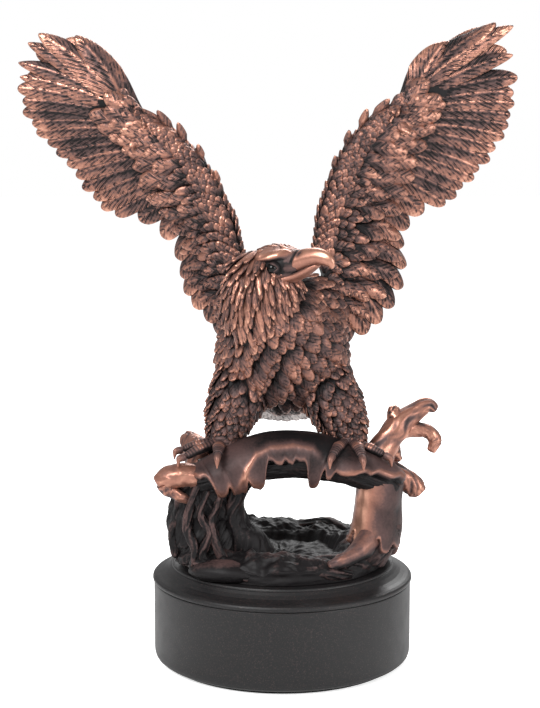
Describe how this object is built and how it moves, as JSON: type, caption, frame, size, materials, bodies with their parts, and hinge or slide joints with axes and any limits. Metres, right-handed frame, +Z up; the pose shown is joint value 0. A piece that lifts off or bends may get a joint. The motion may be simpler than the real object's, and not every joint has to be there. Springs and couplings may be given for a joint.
{
  "type": "eagle statuette",
  "caption": "Bronze statuette of an eagle with raised wings, landing on a looped driftwood perch fixed to a turned black plinth.",
  "frame": {"origin": "centre of the felt disc's underside, on the table", "axes": "+Z up, -Y the front that the bird's breast faces, +X to the viewer's right"},
  "size_m": [0.2318, 0.1249, 0.297],
  "materials": {
    "black_lacquer": "matt black lacquer on a turned wooden plinth",
    "felt": "dark felt",
    "steel": "plain bright steel",
    "dark_bronze": "cast bronze, near-black patina with rubbed copper edges",
    "bronze": "cast bronze, brown patina with rubbed copper highlights",
    "eye_black": "glossy black"
  },
  "bodies": {
    "root": {"plinth": "black_lacquer", "felt_disc": "felt", "mounting_studs": "steel", "washers": "steel", "nuts": "steel", "driftwood_foot": "dark_bronze", "left_trunk": "dark_bronze", "right_limb": "bronze", "crown_limb": "bronze", "burl": "bronze", "antler_branch": "bronze", "stub_branch": "bronze", "rear_stub": "bronze", "eagle_body": "bronze", "eagle_head": "bronze", "eyes": "eye_black", "wing_left": "bronze", "wing_right": "bronze", "tail": "dark_bronze", "leg_left": "bronze", "leg_right": "bronze", "foot_left": "bronze", "foot_right": "bronze", "trunk_dowels": "steel", "crown_dowels": "steel", "branch_pins": "steel", "leg_rods": "steel", "hip_pins": "steel", "wing_pins": "steel", "neck_pin": "steel", "tail_pin": "steel"}
  },
  "joints": []
}
